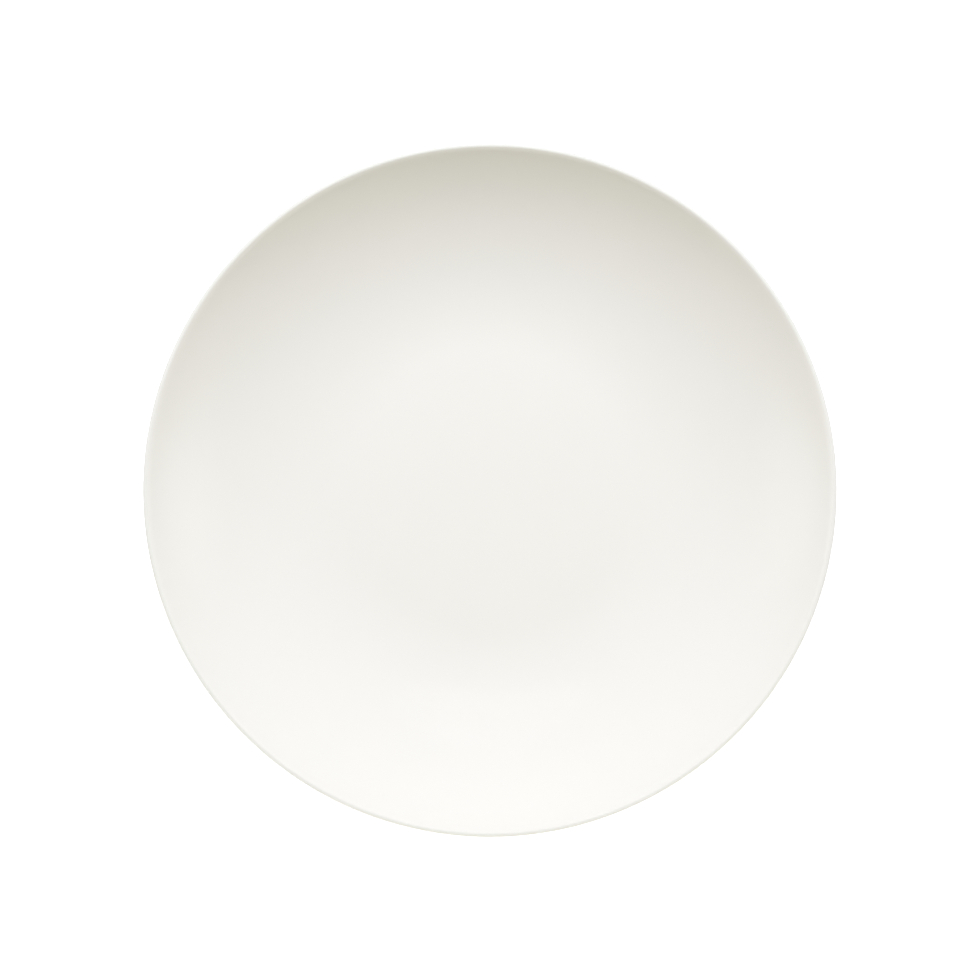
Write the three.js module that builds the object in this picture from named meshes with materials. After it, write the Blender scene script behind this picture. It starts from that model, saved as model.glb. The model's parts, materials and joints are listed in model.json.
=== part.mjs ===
// Deep coupe plate in glazed porcelain: a flat well that sweeps up in one arc to a thin lip,
// on a low foot ring. Millimetres, +Z up. The plate stands on z = 0 and turns about the Z axis.
//
// The body is pressed and fired in one piece. The glaze is a coat of glass fired onto it, in two
// separate areas, because the foot ring is wiped clean where the plate stands.

import * as THREE from "three";

// Driving dimensions, over the glaze unless they say otherwise
const plateDiameter = 280; // across the outside of the lip
const plateHeight = 45; // from the standing plane to the crest of the lip
const lipThickness = 2.2; // the lip is a full round of this thickness
const flareRadius = 12; // of the slight outward bend of the face on its way into the lip
const flareTurn = THREE.MathUtils.degToRad(10); // how far the face turns in that bend
const wellDiameter = 118; // the flat floor inside
const wellThickness = 5.2; // from the flat floor to the recess, beside the foot ring
const heelOffset = 2; // how far past the well the outside starts to curve up

const footOverhang = 15; // how far the foot ring's outside stands past the well, on the bare body
const footWidth = 6; // width of the foot ring at the standing plane, before its edges are rounded
const footDraft = THREE.MathUtils.degToRad(12); // lean of both flanks of the foot ring
const footEdgeRadius = 1.2; // rounding of the two standing edges, on the bare body
const footFillet = 2; // hollow rounding at the two roots of the foot ring
const recessDepth = 3.2; // from the standing plane to the recess, beside the foot ring
const recessCrown = 0.8; // how much higher the middle of the recess lies

const glazeThickness = 0.3;
const bondThickness = 0.02; // layer in which the glaze and the body have grown into each other
const wipeMargin = 0.25; // bare flank between a rounded standing edge and the glaze

// Facets
const turnSteps = 64;
const faceSteps = 10;
const flareSteps = 1;
const crestSteps = 2; // on the lip, from the flare to the crest
const rimSteps = 3; // from the crest to the outermost point
const tuckSteps = 1; // from there to the outside
const outsideSteps = 8;
const filletSteps = 3;
const edgeSteps = 3;
const recessSteps = 2;

// Places that follow from the driving dimensions. In every section x is the distance from the
// axis and y the height above the standing plane.
const up = Math.PI / 2;
const down = -up;
const wellRadius = wellDiameter / 2;
const lipRadius = lipThickness / 2;
const floorHeight = recessDepth + wellThickness;
const lipCentre = new THREE.Vector2(plateDiameter / 2 - lipRadius, plateHeight - lipRadius);
const bodyInset = glazeThickness + bondThickness;

// Radius of the arc that leaves a level line upwards at the point start and touches a round.
// side is 1 where the arc runs inside the dish and -1 where it runs outside.
function radiusFromLevel(start, roundCentre, roundRadius, side) {
  const run = roundCentre.x - start.x;
  const rise = roundCentre.y - start.y;
  return (run * run + rise * rise - roundRadius * roundRadius) / (2 * (rise + side * roundRadius));
}

// The face curves up from the well in one arc, bends outwards in the flare and runs into the lip,
// without a kink. faceSlope is its slope at its steepest, where the flare starts.
const faceStart = new THREE.Vector2(wellRadius, floorHeight);
const lipToFlare = flareRadius - lipRadius; // between the centres of the two rounds
const faceSlope = 2 * Math.atan2(
  lipCentre.y - faceStart.y + flareRadius - lipToFlare * Math.cos(flareTurn),
  lipCentre.x - faceStart.x + lipToFlare * Math.sin(flareTurn),
);
const flareEnd = up + faceSlope - flareTurn; // direction from the lip's centre to the flare's end
const flareCentre = new THREE.Vector2(
  lipCentre.x - lipToFlare * Math.cos(flareEnd),
  lipCentre.y - lipToFlare * Math.sin(flareEnd),
);
const faceRadius = radiusFromLevel(faceStart, flareCentre, flareRadius, 1);
const faceCentre = new THREE.Vector2(faceStart.x, faceStart.y + faceRadius);

const outsideStart = new THREE.Vector2(wellRadius + heelOffset, recessDepth);
const outsideRadius = radiusFromLevel(outsideStart, lipCentre, lipRadius, -1);
const outsideCentre = new THREE.Vector2(outsideStart.x, outsideStart.y + outsideRadius);

// The foot ring's two flanks, on the bare body: the point where each would meet the standing
// plane, its direction upwards and the direction out of the porcelain.
const outerFlank = {
  foot: new THREE.Vector2(wellRadius + footOverhang, 0),
  up: new THREE.Vector2(Math.sin(footDraft), Math.cos(footDraft)),
  out: new THREE.Vector2(Math.cos(footDraft), -Math.sin(footDraft)),
};
const innerFlank = {
  foot: new THREE.Vector2(outerFlank.foot.x - footWidth, 0),
  up: new THREE.Vector2(-Math.sin(footDraft), Math.cos(footDraft)),
  out: new THREE.Vector2(-Math.cos(footDraft), -Math.sin(footDraft)),
};
const edgeHeight = footEdgeRadius * (1 - Math.sin(footDraft)); // top of a rounded standing edge
const edgeInset = edgeHeight / Math.cos(footDraft); // from a flank's foot to its edge's centre
const glazeLine = edgeHeight + wipeMargin; // height at which the glaze ends on both flanks

// A root fillet leaves at least as much straight flank above the glaze line as is bare below it.
const flankRoom = recessDepth - glazeLine - wipeMargin;
const rootFillet = Math.min(footFillet, flankRoom / (1 - Math.sin(footDraft)));

// The recess is a shallow dome whose centre lies on the axis, far below the plate.
const recessRadius = (innerFlank.foot.x ** 2 + recessCrown ** 2) / (2 * recessCrown);
const recessCentre = new THREE.Vector2(0, recessDepth + recessCrown - recessRadius);

// The first point up a flank, moved out by clearance, that lies at that distance from centre.
function upFlankTo(flank, clearance, centre, distance) {
  const start = flank.foot.clone().addScaledVector(flank.out, clearance);
  const offset = start.clone().sub(centre);
  const along = offset.dot(flank.up);
  const rest = along * along - offset.lengthSq() + distance * distance;
  const towards = offset.length() > distance ? -1 : 1;
  return start.addScaledVector(flank.up, -along + towards * Math.sqrt(rest));
}

const outerRootCentre = upFlankTo(
  outerFlank,
  bodyInset + rootFillet,
  outsideCentre,
  outsideRadius + rootFillet,
);
const innerRootCentre = upFlankTo(
  innerFlank,
  bodyInset + rootFillet,
  recessCentre,
  recessRadius - rootFillet,
);

function directionTo(from, to) {
  return Math.atan2(to.y - from.y, to.x - from.x);
}

function arc(centre, radius, from, to, steps) {
  return new THREE.ArcCurve(centre.x, centre.y, radius, from, to, to < from).getPoints(steps);
}

// The point on a flank at a height above the standing plane, moved out of the bare body.
function pointOnFlank(flank, clearance, height) {
  const start = flank.foot.clone().addScaledVector(flank.out, clearance);
  return start.addScaledVector(flank.up, (height - start.y) / flank.up.y);
}

// The section's line from the middle of the well over the lip to the glaze line on the outside
// of the foot ring, at a depth below the glaze's surface. The lines at all depths are parallel.
function faceLine(depth) {
  const faceEnd = faceSlope + down;
  const lipEnd = directionTo(outsideCentre, lipCentre);
  const outsideEnd = directionTo(outsideCentre, outerRootCentre);
  const rootEnd = Math.PI - footDraft;
  return [
    new THREE.Vector2(0, floorHeight - depth),
    ...arc(faceCentre, faceRadius + depth, down, faceEnd, faceSteps),
    ...arc(flareCentre, flareRadius - depth, faceSlope + up, flareEnd, flareSteps).slice(1),
    ...arc(lipCentre, lipRadius - depth, flareEnd, up, crestSteps).slice(1),
    ...arc(lipCentre, lipRadius - depth, up, 0, rimSteps).slice(1),
    ...arc(lipCentre, lipRadius - depth, 0, lipEnd, tuckSteps).slice(1),
    ...arc(outsideCentre, outsideRadius - depth, lipEnd, outsideEnd, outsideSteps).slice(1),
    ...arc(outerRootCentre, rootFillet + depth, outsideEnd + Math.PI, rootEnd, filletSteps).slice(1),
    pointOnFlank(outerFlank, bodyInset - depth, glazeLine),
  ];
}

// The section's line from the middle of the recess to the glaze line inside the foot ring.
function recessLine(depth) {
  const domeEnd = directionTo(recessCentre, innerRootCentre);
  return [
    ...arc(recessCentre, recessRadius + depth, up, domeEnd, recessSteps),
    ...arc(innerRootCentre, rootFillet + depth, domeEnd, footDraft, filletSteps).slice(1),
    pointOnFlank(innerFlank, bodyInset - depth, glazeLine),
  ];
}

// The bare standing edge, from the inside of the foot ring to the outside.
function standingEdge() {
  const innerEdge = new THREE.Vector2(innerFlank.foot.x + edgeInset, footEdgeRadius);
  const outerEdge = new THREE.Vector2(outerFlank.foot.x - edgeInset, footEdgeRadius);
  return [
    ...arc(innerEdge, footEdgeRadius, footDraft - Math.PI, down, edgeSteps),
    ...arc(outerEdge, footEdgeRadius, down, -footDraft, edgeSteps),
  ];
}

// A section turned about the plate's axis. It runs anticlockwise, so that its faces point out.
function turned(name, section, material) {
  const mesh = new THREE.Mesh(new THREE.LatheGeometry(section, turnSteps), material);
  mesh.name = name;
  return mesh;
}

const fired = new THREE.MeshStandardMaterial({ color: 0xece8de, roughness: 0.6, metalness: 0 });
const glazed = new THREE.MeshStandardMaterial({ color: 0xf3f2ed, roughness: 0.1, metalness: 0 });

const plate = new THREE.Group();
plate.name = "deep_coupe_plate";
plate.rotation.x = Math.PI / 2; // a lathe turns about Y, and the plate stands along Z

// The pressed and fired body, with the foot ring that carries the plate
const bodySection = [...recessLine(bodyInset), ...standingEdge(), ...faceLine(bodyInset).reverse()];
plate.add(turned("porcelain_body", bodySection, fired));

// The glaze on the eating face, the lip and the outside, down to the foot ring
const faceSection = [...faceLine(glazeThickness), ...faceLine(0).reverse()];
plate.add(turned("face_glaze_coat", faceSection, glazed));

// The glaze in the recess inside the foot ring
const recessSection = [...recessLine(0), ...recessLine(glazeThickness).reverse()];
plate.add(turned("recess_glaze_coat", recessSection, glazed));

export default plate;
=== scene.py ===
# Deep coupe plate in glazed porcelain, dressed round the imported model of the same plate.
# Metres, +Z up. The plate stands on z = 0 and its axis is the Z axis.

import json
import math

import bpy
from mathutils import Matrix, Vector


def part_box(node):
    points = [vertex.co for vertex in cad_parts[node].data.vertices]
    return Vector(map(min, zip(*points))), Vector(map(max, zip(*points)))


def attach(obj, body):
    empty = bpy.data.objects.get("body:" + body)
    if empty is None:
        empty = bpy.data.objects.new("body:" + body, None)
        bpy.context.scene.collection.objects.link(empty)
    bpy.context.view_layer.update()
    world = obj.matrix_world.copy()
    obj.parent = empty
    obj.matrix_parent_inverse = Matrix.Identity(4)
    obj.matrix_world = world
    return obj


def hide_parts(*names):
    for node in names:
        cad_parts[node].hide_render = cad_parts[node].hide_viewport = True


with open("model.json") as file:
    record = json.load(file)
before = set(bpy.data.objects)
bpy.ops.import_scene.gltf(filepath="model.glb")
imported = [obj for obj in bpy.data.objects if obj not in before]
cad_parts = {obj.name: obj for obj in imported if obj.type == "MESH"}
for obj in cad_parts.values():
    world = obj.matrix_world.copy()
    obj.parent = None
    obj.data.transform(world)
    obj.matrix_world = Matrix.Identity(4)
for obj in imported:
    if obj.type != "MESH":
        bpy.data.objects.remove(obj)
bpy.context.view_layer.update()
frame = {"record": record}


# The body of the plate: hard porcelain, roller-formed over a mould and fired in one piece.
# The glaze hides all of it but the standing edge of the foot ring, which is wiped bare before
# the firing, so that the plate doesn't stick to the kiln, and is ground smooth after it.

MM = 0.001
plate_low, plate_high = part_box("face_glaze_coat")
body_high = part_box("porcelain_body")[1]
mounts = {mount["name"]: mount for mount in frame["record"]["mounts"]}

plate_radius = plate_high.x
lip_radius = 1.1 * MM  # the lip is a full round
flare_radius = 12 * MM  # of the slight outward bend of the wall on its way into the lip
flare_turn = math.radians(10)  # how far the wall turns in that bend
well_radius = 59 * MM
floor_height = mounts["well_floor"]["pos_m"][2]
well_thickness = 5.2 * MM
heel_offset = 2 * MM  # how far past the well the outside starts to curve up

foot_outer_radius = 74 * MM
foot_width = 6 * MM
foot_draft = math.radians(12)  # lean of both flanks of the foot ring
foot_edge_radius = 1.2 * MM
root_fillet = 2 * MM
recess_depth = floor_height - well_thickness
recess_crown = 0.8 * MM  # how much higher the middle of the recess lies

body_inset = plate_radius - body_high.x  # from the glaze's surface to the body
glaze_line = plate_low.z  # the coats end at this height on the foot ring

up = math.pi / 2
down = -up
lip_centre = Vector((plate_radius - lip_radius, plate_high.z - lip_radius))


def radius_from_level(start, round_centre, round_radius, side):
    """Radius of the arc that leaves a level line upwards at start and touches a round.
    side is 1 where the arc runs inside the dish and -1 where it runs outside."""
    run, rise = round_centre - start
    return (run**2 + rise**2 - round_radius**2) / (2 * (rise + side * round_radius))


# The face curves up from the well in one arc, bends outwards in the flare and runs into the lip
# without a kink. face_slope is its slope at its steepest, where the flare starts.
face_start = Vector((well_radius, floor_height))
run, rise = lip_centre - face_start
lip_to_flare = flare_radius - lip_radius  # between the centres of the two rounds
face_slope = 2 * math.atan2(
    rise + flare_radius - lip_to_flare * math.cos(flare_turn),
    run + lip_to_flare * math.sin(flare_turn),
)
flare_end = up + face_slope - flare_turn  # direction from the lip's centre to the flare's end
flare_centre = lip_centre - lip_to_flare * Vector((math.cos(flare_end), math.sin(flare_end)))
face_radius = radius_from_level(face_start, flare_centre, flare_radius, 1)
face_centre = face_start + Vector((0, face_radius))

outside_start = Vector((well_radius + heel_offset, recess_depth))
outside_radius = radius_from_level(outside_start, lip_centre, lip_radius, -1)
outside_centre = outside_start + Vector((0, outside_radius))

recess_span = foot_outer_radius - foot_width
recess_radius = (recess_span**2 + recess_crown**2) / (2 * recess_crown)
recess_centre = Vector((0, recess_depth + recess_crown - recess_radius))


class Flank:
    """One side of the foot ring on the bare body: side is 1 on the outside and -1 in the recess."""

    def __init__(self, foot_radius, side):
        self.foot = Vector((foot_radius, 0))
        self.up = Vector((side * math.sin(foot_draft), math.cos(foot_draft)))
        self.out = Vector((side * math.cos(foot_draft), -math.sin(foot_draft)))

    def at_height(self, clearance, height):
        """The point at that height on the flank, moved out by a clearance."""
        start = self.foot + clearance * self.out
        return start + self.up * ((height - start.y) / self.up.y)

    def up_to(self, clearance, centre, distance):
        """The first point up the moved flank that lies at that distance from centre."""
        start = self.foot + clearance * self.out
        offset = start - centre
        along = offset.dot(self.up)
        discriminant = along**2 - offset.length_squared + distance**2
        towards = -1 if offset.length > distance else 1
        return start + self.up * (towards * math.sqrt(discriminant) - along)


outer_flank = Flank(foot_outer_radius, 1)
inner_flank = Flank(recess_span, -1)
outer_root = outer_flank.up_to(
    body_inset + root_fillet, outside_centre, outside_radius + root_fillet
)
inner_root = inner_flank.up_to(
    body_inset + root_fillet, recess_centre, recess_radius - root_fillet
)


def direction(start, end):
    """Angle of the line from start to end in the section."""
    return math.atan2(end.y - start.y, end.x - start.x)


def arc(centre, radius, start, end, step, swell=0.0):
    """Section points on an arc: distance from the axis, height, and depth of the glaze there.
    The depth is a share of the usual one and only sets the glaze's tone. It is 1 at both ends and 1
    + swell half-way."""
    count = max(3, math.ceil(abs(end - start) * radius / step))
    points = []
    for i in range(count + 1):
        angle = start + (end - start) * i / count
        place = centre + radius * Vector((math.cos(angle), math.sin(angle)))
        points.append(Vector((*place, 1 + swell * math.sin(math.pi * i / count))))
    return points


def line(start, end, step):
    """Section points on a straight line, without the last."""
    count = max(1, math.ceil((end - start).length / step))
    return [Vector((*start.lerp(end, i / count), 1)) for i in range(count)]


wall_step = 1.6 * MM
well_step = 6 * MM
round_step = 0.22 * MM
# Shares of the glaze's depth, which set only its tone: the thin crest of the lip is painted greyer,
# as painted shade along the lip.
lip_thins_painted_shade = -0.45  # the glaze runs off the crest of the lip
root_pools = 0.7  # and gathers in the hollow roots of the foot ring


def face_line(depth):
    """From the middle of the well over the lip to the glaze line outside the foot ring, at a
    depth below the glaze's surface."""
    lip_end = direction(outside_centre, lip_centre)
    outside_end = direction(outside_centre, outer_root)
    sunk = Vector((0, depth))
    return [
        *line(Vector((0, floor_height)) - sunk, face_start - sunk, well_step),
        *arc(face_centre, face_radius + depth, down, down + face_slope, wall_step),
        *arc(flare_centre, flare_radius - depth, up + face_slope, flare_end, round_step)[1:],
        *arc(lip_centre, lip_radius - depth, flare_end, lip_end, round_step, lip_thins_painted_shade)[1:],
        *arc(outside_centre, outside_radius - depth, lip_end, outside_end, wall_step)[1:],
        *arc(
            outer_root,
            root_fillet + depth,
            outside_end + math.pi,
            math.pi - foot_draft,
            round_step,
            root_pools,
        )[1:],
    ]


def recess_line(depth):
    """From the middle of the recess to the glaze line inside the foot ring."""
    dome_end = direction(recess_centre, inner_root)
    return [
        *arc(recess_centre, recess_radius + depth, up, dome_end, well_step),
        *arc(inner_root, root_fillet + depth, dome_end, foot_draft, round_step, root_pools)[1:],
    ]


edge_height = foot_edge_radius * (1 - math.sin(foot_draft))
edge_inset = edge_height / math.cos(foot_draft)


def standing_edge():
    """The bare edge that the plate stands on, from the recess to the outside."""
    inner_edge = inner_flank.foot + Vector((edge_inset, foot_edge_radius))
    outer_edge = outer_flank.foot + Vector((-edge_inset, foot_edge_radius))
    return [
        *arc(inner_edge, foot_edge_radius, foot_draft - math.pi, down, round_step),
        *arc(outer_edge, foot_edge_radius, down, -foot_draft, round_step),
    ]


def linear(hex_colour):
    """An sRGB hex colour as linear red, green, blue and alpha."""
    shares = [int(hex_colour[i : i + 2], 16) / 255 for i in (1, 3, 5)]
    return (*(s / 12.92 if s <= 0.04045 else ((s + 0.055) / 1.055) ** 2.4 for s in shares), 1)


def add(tree, kind, inputs=None, **settings):
    """Adds a node, sets its settings, and sets or links its inputs."""
    node = tree.nodes.new(kind)
    for name, value in settings.items():
        setattr(node, name, value)
    for name, value in (inputs or {}).items():
        if isinstance(value, bpy.types.NodeSocket):
            tree.links.new(value, node.inputs[name])
        else:
            node.inputs[name].default_value = value
    return node


def new_material(name):
    """A material with an empty node tree, and that tree."""
    material = bpy.data.materials.new(name)
    material.use_nodes = True
    material.node_tree.nodes.clear()
    return material, material.node_tree


# Bare porcelain, ground after the firing: a dense, warm white stone, dull beside the glaze, with
# fine grit left by the grinding and a few darker grains from the kiln shelf. The grit is drawn
# coarser than the real one, so that it shows.
ground_porcelain, tree = new_material("ground_porcelain")
grit_size = 0.5 * MM
grain_spacing = 1.6 * MM
place = add(tree, "ShaderNodeTexCoord").outputs["Object"]
grit = add(
    tree,
    "ShaderNodeTexNoise",
    {"Vector": place, "Scale": 1 / grit_size, "Detail": 3.0, "Roughness": 0.6},
)
grains = add(
    tree,
    "ShaderNodeTexVoronoi",
    {"Vector": place, "Scale": 1 / grain_spacing, "Randomness": 1.0},
)
grain_spots = add(
    tree,
    "ShaderNodeMapRange",
    {
        "Value": grains.outputs["Distance"],
        "From Min": 0.1,
        "From Max": 0.16,
        "To Min": 0.5,
        "To Max": 0.0,
    },
)
# A colour mix has its factor at socket 0, its two colours at 6 and 7, and its result at output 2.
grit_tone = add(
    tree,
    "ShaderNodeMix",
    {0: grit.outputs["Fac"], 6: linear("#E2DACB"), 7: linear("#F0EADF")},
    data_type="RGBA",
)
tone = add(
    tree,
    "ShaderNodeMix",
    {0: grain_spots.outputs["Result"], 6: grit_tone.outputs[2], 7: linear("#B9AE9C")},
    data_type="RGBA",
)
sheen = add(
    tree,
    "ShaderNodeMapRange",
    {
        "Value": grit.outputs["Fac"],
        "From Min": 0.3,
        "From Max": 0.7,
        "To Min": 0.45,
        "To Max": 0.7,
    },
)
relief = add(
    tree,
    "ShaderNodeBump",
    {"Height": grit.outputs["Fac"], "Strength": 0.5, "Distance": 0.03 * MM},
)
shader = add(
    tree,
    "ShaderNodeBsdfPrincipled",
    {
        "Base Color": tone.outputs[2],
        "Roughness": sheen.outputs["Result"],
        "Normal": relief.outputs["Normal"],
        "IOR": 1.5,
    },
)
add(tree, "ShaderNodeOutputMaterial", {"Surface": shader.outputs["BSDF"]})


# Turns a section about the plate's axis. A fired plate is never quite true: its lip rises and
# falls a little and is slightly out of round, and the wiped edge of its glaze wanders.
turning = bpy.data.node_groups.new("turned_about_the_axis", "GeometryNodeTree")
turning_inputs = {}
for name, kind in {
    "Section": "NodeSocketGeometry",
    "Turn Steps": "NodeSocketInt",
    "Foot Radius": "NodeSocketFloat",
    "Plate Radius": "NodeSocketFloat",
    "Lip Warp": "NodeSocketFloat",
    "Edge Wander": "NodeSocketFloat",
    "Seed": "NodeSocketFloat",
    "Finish": "NodeSocketMaterial",
}.items():
    socket = turning.interface.new_socket(name, in_out="INPUT", socket_type=kind)
    turning_inputs[name] = socket.identifier
turning.interface.new_socket("Solid", in_out="OUTPUT", socket_type="NodeSocketGeometry")

given = add(turning, "NodeGroupInput").outputs
hub_radius = 10 * MM  # of the circle that the section is swept along
hub = add(
    turning,
    "GeometryNodeCurvePrimitiveCircle",
    {"Resolution": given["Turn Steps"], "Radius": hub_radius},
)
path = add(
    turning, "GeometryNodeSetCurveNormal", {"Curve": hub.outputs["Curve"]}, mode="Z_UP"
)
profile = add(turning, "GeometryNodeMeshToCurve", {"Mesh": given["Section"]})
swept = add(
    turning,
    "GeometryNodeCurveToMesh",
    {"Curve": path.outputs["Curve"], "Profile Curve": profile.outputs["Curve"]},
)
closed = add(
    turning,
    "GeometryNodeMergeByDistance",
    {"Geometry": swept.outputs["Mesh"], "Distance": 0.001 * MM},
)

level = add(
    turning,
    "ShaderNodeVectorMath",
    {0: add(turning, "GeometryNodeInputPosition").outputs["Position"], 1: (1, 1, 0)},
    operation="MULTIPLY",
).outputs["Vector"]
outwards = add(
    turning, "ShaderNodeVectorMath", {0: level}, operation="NORMALIZE"
).outputs["Vector"]
from_axis = add(
    turning, "ShaderNodeVectorMath", {0: level}, operation="LENGTH"
).outputs["Value"]
past_foot = add(
    turning,
    "ShaderNodeMapRange",
    {"Value": from_axis, "From Min": given["Foot Radius"], "From Max": given["Plate Radius"]},
    interpolation_type="SMOOTHSTEP",
).outputs["Result"]


def round_the_axis(scale, amount):
    """A vector that changes smoothly with the direction from the axis, up to amount each way."""
    noise = add(
        turning,
        "ShaderNodeTexNoise",
        {"Vector": outwards, "W": given["Seed"], "Scale": scale, "Detail": 1.0},
        noise_dimensions="4D",
    )
    centred = add(
        turning,
        "ShaderNodeVectorMath",
        {0: noise.outputs["Color"], 1: (2, 2, 2), 2: (-1, -1, -1)},
        operation="MULTIPLY_ADD",
    )
    return add(
        turning,
        "ShaderNodeVectorMath",
        {0: centred.outputs["Vector"], "Scale": amount},
        operation="SCALE",
    ).outputs["Vector"]


warp_scale = 0.7  # about two slow waves round the lip
wander_scale = 7.0  # about twenty short ones round the glaze line
warp = add(
    turning,
    "ShaderNodeVectorMath",
    {0: round_the_axis(warp_scale, given["Lip Warp"]), "Scale": past_foot},
    operation="SCALE",
)
slide = add(
    turning,
    "GeometryNodeInputNamedAttribute",
    {"Name": "edge_slide"},
    data_type="FLOAT_VECTOR",
)
wander = add(
    turning, "ShaderNodeSeparateXYZ", {0: round_the_axis(wander_scale, given["Edge Wander"])}
)
slid = add(
    turning,
    "ShaderNodeVectorMath",
    {0: slide.outputs["Attribute"], "Scale": wander.outputs["X"]},
    operation="SCALE",
)
shift = add(
    turning,
    "ShaderNodeVectorMath",
    {0: warp.outputs["Vector"], 1: slid.outputs["Vector"]},
    operation="ADD",
)
shift_parts = add(turning, "ShaderNodeSeparateXYZ", {0: shift.outputs["Vector"]})
shift_up = add(turning, "ShaderNodeCombineXYZ", {"Z": shift_parts.outputs["Y"]})
shift_in_space = add(
    turning,
    "ShaderNodeVectorMath",
    {0: outwards, 1: shift_parts.outputs["X"], 2: shift_up.outputs["Vector"]},
    operation="MULTIPLY_ADD",
)
fired = add(
    turning,
    "GeometryNodeSetPosition",
    {"Geometry": closed.outputs["Geometry"], "Offset": shift_in_space.outputs["Vector"]},
)
smooth = add(turning, "GeometryNodeSetShadeSmooth", {"Geometry": fired.outputs["Geometry"]})
whole = add(turning, "GeometryNodeRealizeInstances", {"Geometry": smooth.outputs["Geometry"]})
finished = add(
    turning,
    "GeometryNodeSetMaterial",
    {"Geometry": whole.outputs["Geometry"], "Material": given["Finish"]},
)
add(turning, "NodeGroupOutput", {"Solid": finished.outputs["Geometry"]})


def turn(name, section, slides, finish):
    """The solid of a section that starts and ends on the axis. slides holds, for each point, the
    direction in which the glaze's wiped edge can wander there."""
    mesh = bpy.data.meshes.new(name)
    mesh.from_pydata(
        [(p.x - hub_radius, -p.y, 0) for p in section],
        [(i, i + 1) for i in range(len(section) - 1)],
        [],
    )
    depth = mesh.attributes.new("glaze_depth_and_lip_shade", "FLOAT", "POINT")
    depth.data.foreach_set("value", [p.z for p in section])
    slide = mesh.attributes.new("edge_slide", "FLOAT_VECTOR", "POINT")
    slide.data.foreach_set("vector", [part for way in slides for part in (way.x, way.y, 0)])
    piece = bpy.data.objects.new(name, mesh)
    bpy.context.scene.collection.objects.link(piece)
    turned = piece.modifiers.new("turned", "NODES")
    turned.node_group = turning
    for key, value in {
        "Turn Steps": 256,
        "Foot Radius": foot_outer_radius,
        "Plate Radius": plate_radius,
        "Lip Warp": 0.15 * MM,
        "Edge Wander": 0.12 * MM,
        "Seed": 3.0,
        "Finish": finish,
    }.items():
        turned[turning_inputs[key]] = value
    graph = bpy.context.evaluated_depsgraph_get()
    solid = bpy.data.meshes.new_from_object(piece.evaluated_get(graph), depsgraph=graph)
    piece.modifiers.remove(turned)
    piece.data = solid
    solid.attributes.remove(solid.attributes["edge_slide"])
    bpy.data.meshes.remove(mesh)
    return piece


body_section = [
    *face_line(body_inset),
    *reversed(standing_edge()),
    *reversed(recess_line(body_inset)),
]
still = Vector((0, 0))  # only the edge of the glaze wanders
porcelain_body = turn(
    "porcelain_body_bare", body_section, [still] * len(body_section), ground_porcelain
)
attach(porcelain_body, "root")
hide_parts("porcelain_body")


# The glaze on the eating face, over the lip and down the outside to the foot ring. It is sprayed
# or dipped on as a slip of ground glass and melts to a skin of about a third of a millimetre, and
# ends in a rounded bead at the foot. That it runs thin over the crest of the lip and gathers at
# the foot shows only in its tone, and the greyer crest is painted shade along the lip.

glaze_thickness = 0.3 * MM

# White glaze, opaque with zircon and fired to a gloss. To the eye it is a warm white, with a clear
# reflection that waves slightly, because a melt never sets quite flat. Its tone drifts in broad
# clouds, and it is painted greyer where it runs thin over the crest of the lip: painted shade
# along the lip.
white_glaze, tree = new_material("white_zircon_glaze")
cloud_size = 45 * MM
cloudiness = 0.5  # the most that the clouds add to the depth
smudge_size = 12 * MM  # of the patches with more or less gloss
ring_pitch = 3.5 * MM  # of the roller's marks under the glaze
wave_pitch = math.tau / 20  # of a wave texture whose scale is 1
peel_size = 6 * MM  # of the waves in the melt
place = add(tree, "ShaderNodeTexCoord").outputs["Object"]
cloud = add(
    tree, "ShaderNodeTexNoise", {"Vector": place, "Scale": 1 / cloud_size, "Detail": 2.0}
)
depth = add(tree, "ShaderNodeAttribute", attribute_name="glaze_depth_and_lip_shade")
cloudy_depth = add(
    tree,
    "ShaderNodeMath",
    {0: cloud.outputs["Fac"], 1: cloudiness, 2: depth.outputs["Fac"]},
    operation="MULTIPLY_ADD",
)
# The greyer tone of thin glaze falls mostly on the lip's crest, where it is painted shade; the
# clouds make the tone drift at random.
depth_and_lip_shade_share = add(
    tree,
    "ShaderNodeMapRange",
    {"Value": cloudy_depth.outputs["Value"], "From Min": 0.6, "From Max": 1.8},
)
tone = add(
    tree,
    "ShaderNodeMix",
    {0: depth_and_lip_shade_share.outputs["Result"], 6: linear("#ECEEE9"), 7: linear("#F4F2EC")},
    data_type="RGBA",
)
smudge = add(
    tree, "ShaderNodeTexNoise", {"Vector": place, "Scale": 1 / smudge_size, "Detail": 3.0}
)
gloss = add(
    tree,
    "ShaderNodeMapRange",
    {
        "Value": smudge.outputs["Fac"],
        "From Min": 0.3,
        "From Max": 0.7,
        "To Min": 0.08,
        "To Max": 0.13,
    },
)
rings = add(
    tree,
    "ShaderNodeTexWave",
    {"Vector": place, "Scale": wave_pitch / ring_pitch, "Distortion": 0.6, "Detail": 1.0},
    wave_type="RINGS",
    rings_direction="Z",
)
ring_relief = add(
    tree,
    "ShaderNodeBump",
    {"Height": rings.outputs["Fac"], "Strength": 1.0, "Distance": 0.0015 * MM},
)
peel = add(
    tree, "ShaderNodeTexNoise", {"Vector": place, "Scale": 1 / peel_size, "Detail": 1.0}
)
relief = add(
    tree,
    "ShaderNodeBump",
    {
        "Height": peel.outputs["Fac"],
        "Strength": 1.0,
        "Distance": 0.012 * MM,
        "Normal": ring_relief.outputs["Normal"],
    },
)
shader = add(
    tree,
    "ShaderNodeBsdfPrincipled",
    {
        "Base Color": tone.outputs[2],
        "Roughness": gloss.outputs["Result"],
        "Normal": relief.outputs["Normal"],
        "IOR": 1.52,
    },
)
add(tree, "ShaderNodeOutputMaterial", {"Surface": shader.outputs["BSDF"]})


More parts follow.
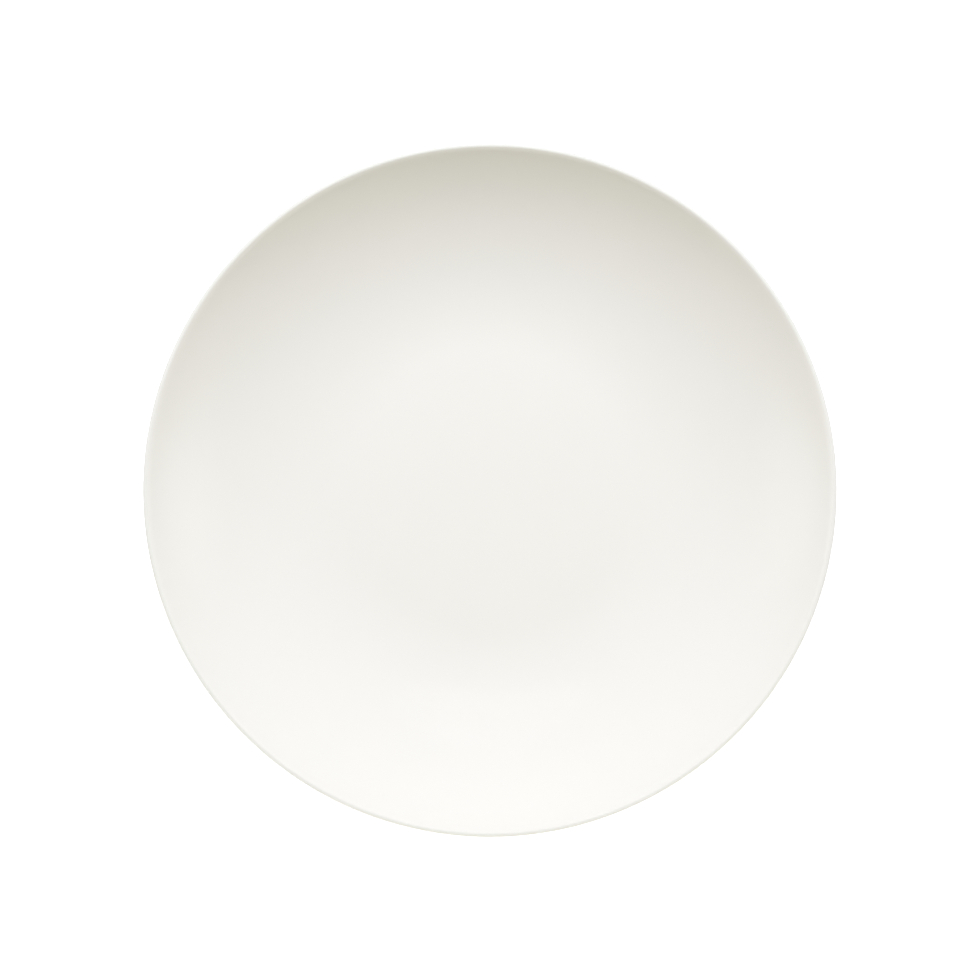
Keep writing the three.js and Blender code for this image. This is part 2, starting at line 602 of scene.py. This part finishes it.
def coat(name, glaze_surface, glaze_underside, flank):
    """A coat between two lines of the section, with a bead where it was wiped off a flank."""
    bead_radius = glaze_thickness / 2
    bead_centre = flank.at_height(body_inset - bead_radius, glaze_line + bead_radius)
    out = math.atan2(flank.out.y, flank.out.x)
    turn_down = math.copysign(math.pi, flank.out.x)
    bead_step = bead_radius / 3
    bead = arc(bead_centre, bead_radius, out, out - turn_down, bead_step)
    section = [*glaze_surface, *bead, *reversed(glaze_underside)]
    slides = [
        *[still] * len(glaze_surface),
        *[flank.up] * len(bead),
        *[still] * len(glaze_underside),
    ]
    if flank is inner_flank:  # the recess's glaze faces down, so its section runs the other way
        section.reverse()
        slides.reverse()
    piece = turn(name, section, slides, white_glaze)
    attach(piece, "root")
    return piece


face_glaze = coat("face_glaze", face_line(0), face_line(glaze_thickness), outer_flank)
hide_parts("face_glaze_coat")


# The glaze in the recess inside the foot ring, of the same batch as the face's. The bare standing
# edge parts the two.

recess_glaze = coat(
    "recess_glaze",
    recess_line(0),
    recess_line(glaze_thickness),
    inner_flank,
)
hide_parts("recess_glaze_coat")


# The table: a plain white sweep. Under the plate it keeps its own shade and takes the plate's
# shadow, and from the lip outwards it glows to white, as an overexposed backdrop does.

floor_half = 4.0  # half the side of the sweep
floor_corners = [(-1, -1), (1, -1), (1, 1), (-1, 1)]
floor_mesh = bpy.data.meshes.new("table")
floor_mesh.from_pydata(
    [(x * floor_half, y * floor_half, 0) for x, y in floor_corners],
    [],
    [range(len(floor_corners))],
)
floor = bpy.data.objects.new("table", floor_mesh)
bpy.context.scene.collection.objects.link(floor)


def seen_directly(tree):
    """1 for what the camera sees, by itself or mirrored, and 0 for what lights the plate."""
    ray = add(tree, "ShaderNodeLightPath").outputs
    camera_or_glossy = add(
        tree,
        "ShaderNodeMath",
        {0: ray["Is Camera Ray"], 1: ray["Is Glossy Ray"]},
        operation="MAXIMUM",
    )
    return add(
        tree,
        "ShaderNodeMath",
        {0: camera_or_glossy.outputs["Value"], 1: ray["Is Transmission Ray"]},
        operation="MAXIMUM",
    ).outputs["Value"]


# Matt white paper, which under this light looks neutral and even. It starts to glow at the foot
# ring and is white from just outside the lip.
white_sweep, tree = new_material("white_paper_sweep")
glow_full_radius = 145 * MM
glow_strength = 0.8  # with the light that falls on the paper, this makes white
place = add(tree, "ShaderNodeTexCoord").outputs["Object"]
distance = add(tree, "ShaderNodeVectorMath", {0: place}, operation="LENGTH")
glow = add(
    tree,
    "ShaderNodeMapRange",
    {
        "Value": distance.outputs["Value"],
        "From Min": foot_outer_radius,
        "From Max": glow_full_radius,
        "To Max": glow_strength,
    },
    interpolation_type="SMOOTHSTEP",
)
glow_seen = add(
    tree,
    "ShaderNodeMath",
    {0: glow.outputs["Result"], 1: seen_directly(tree)},
    operation="MULTIPLY",
)
paper = add(tree, "ShaderNodeBsdfDiffuse", {"Color": linear("#EDEFF8")})
light = add(tree, "ShaderNodeEmission", {"Strength": glow_seen.outputs["Value"]})
both = add(tree, "ShaderNodeAddShader", {0: paper.outputs["BSDF"], 1: light.outputs["Emission"]})
add(tree, "ShaderNodeOutputMaterial", {"Surface": both.outputs["Shader"]})
floor_mesh.materials.append(white_sweep)


# The room: weak, warm light from all round. What the camera sees behind the table, by itself or
# mirrored in the glaze, is plain white.

room = bpy.data.worlds.new("room")
bpy.context.scene.world = room
room.use_nodes = True
tree = room.node_tree
tree.nodes.clear()
fill = add(tree, "ShaderNodeBackground", {"Color": linear("#FFF4D0"), "Strength": 0.387})
backdrop = add(tree, "ShaderNodeBackground", {"Color": linear("#FFFFFF"), "Strength": 1.0})
seen = add(
    tree,
    "ShaderNodeMixShader",
    {0: seen_directly(tree), 1: fill.outputs["Background"], 2: backdrop.outputs["Background"]},
)
add(tree, "ShaderNodeOutputWorld", {"Surface": seen.outputs["Shader"]})


# The lamps: a key light high behind the plate and a low one on each side, all round soft boxes.
# They hang behind scrims, so the glaze mirrors the white room and not the lamps.

lamp_distance = 2.0  # of each lamp's middle from the foot of the plate
behind = 0.0  # azimuths of the lamps, from +Y towards +X
right = math.pi / 2
left = -right
in_front = math.pi


def soft_box(name, azimuth, elevation, width, power, colour):
    """A round lamp of that width, which points at the plate."""
    data = bpy.data.lights.new(name, "AREA")
    data.shape = "DISK"
    data.size = width
    data.energy = power
    data.color = linear(colour)[:3]
    lamp = bpy.data.objects.new(name, data)
    reach = lamp_distance * math.cos(elevation)
    height = lamp_distance * math.sin(elevation)
    lamp.location = (reach * math.sin(azimuth), reach * math.cos(azimuth), height)
    lamp.rotation_euler = (-lamp.location).to_track_quat("-Z", "Y").to_euler()
    lamp.visible_camera = False
    bpy.context.scene.collection.objects.link(lamp)
    return lamp


key = soft_box(
    "key", behind, elevation=math.radians(56), width=1.0, power=33.1, colour="#E9ECFF"
)
key.visible_glossy = False
for name, azimuth in {"left_side": left, "right_side": right}.items():
    side = soft_box(
        name, azimuth, elevation=math.radians(22), width=1.5, power=5.3, colour="#F4FBFF"
    )
    side.visible_glossy = False


# A long, low light card that stands in front of the plate and is lower than the lip. It brightens
# the outside of the lip and the wall, and the near side of the lip keeps its light out of the dish.

card_height = 36 * MM
card_middle = 20 * MM  # height of its middle above the table
card = soft_box(
    "front_card",
    in_front,
    elevation=math.asin(card_middle / lamp_distance),
    width=0.8,
    power=19.0,
    colour="#FFFDFD",
)
card.data.shape = "RECTANGLE"
card.data.size_y = card_height
card.visible_glossy = False


# What the glaze does mirror: a weak soft box behind the plate and one on each side, which light
# nothing by themselves. Their edges are feathered, so that they draw a soft light along the lip
# and the wall and no hard shape.

lamp_middle = (0.5, 0.5, 0)  # in the lamp's own coordinates
lamp_edge = 0.5  # distance of the edge from the middle there
feather_start = 0.1  # and of the circle where the light starts to fade
for name, (azimuth, power) in {
    "back_highlight": (behind, 0.6),
    "left_highlight": (left, 3.0),
    "right_highlight": (right, 3.0),
}.items():
    highlight = soft_box(
        name, azimuth, elevation=math.radians(21), width=1.5, power=power, colour="#FFFFFF"
    )
    highlight.visible_diffuse = False
    highlight.data.use_nodes = True
    tree = highlight.data.node_tree
    tree.nodes.clear()
    spot = add(tree, "ShaderNodeNewGeometry").outputs["Parametric"]
    from_middle = add(
        tree, "ShaderNodeVectorMath", {0: spot, 1: lamp_middle}, operation="DISTANCE"
    )
    feather = add(
        tree,
        "ShaderNodeMapRange",
        {
            "Value": from_middle.outputs["Value"],
            "From Min": lamp_edge,
            "From Max": feather_start,
        },
        interpolation_type="SMOOTHSTEP",
    )
    shine = add(tree, "ShaderNodeEmission", {"Strength": feather.outputs["Result"]})
    add(tree, "ShaderNodeOutputLight", {"Surface": shine.outputs["Emission"]})


# The camera looks straight down on the plate, with the top of the picture towards +Y. It stands
# where the lip takes up its share of the picture.

picture_side = 980  # pixels
plate_radius_in_picture = 347.0  # pixels
camera_data = bpy.data.cameras.new("camera")
camera_data.lens = 100
camera_data.sensor_width = 36
half_view = plate_radius * (picture_side / 2) / plate_radius_in_picture
camera = bpy.data.objects.new("camera", camera_data)
lip_distance = half_view * camera_data.lens / (camera_data.sensor_width / 2)
camera.location = (0, 0, lip_centre.y + lip_distance)
bpy.context.scene.collection.objects.link(camera)
bpy.context.scene.camera = camera
bpy.context.scene.view_settings.view_transform = "Standard"
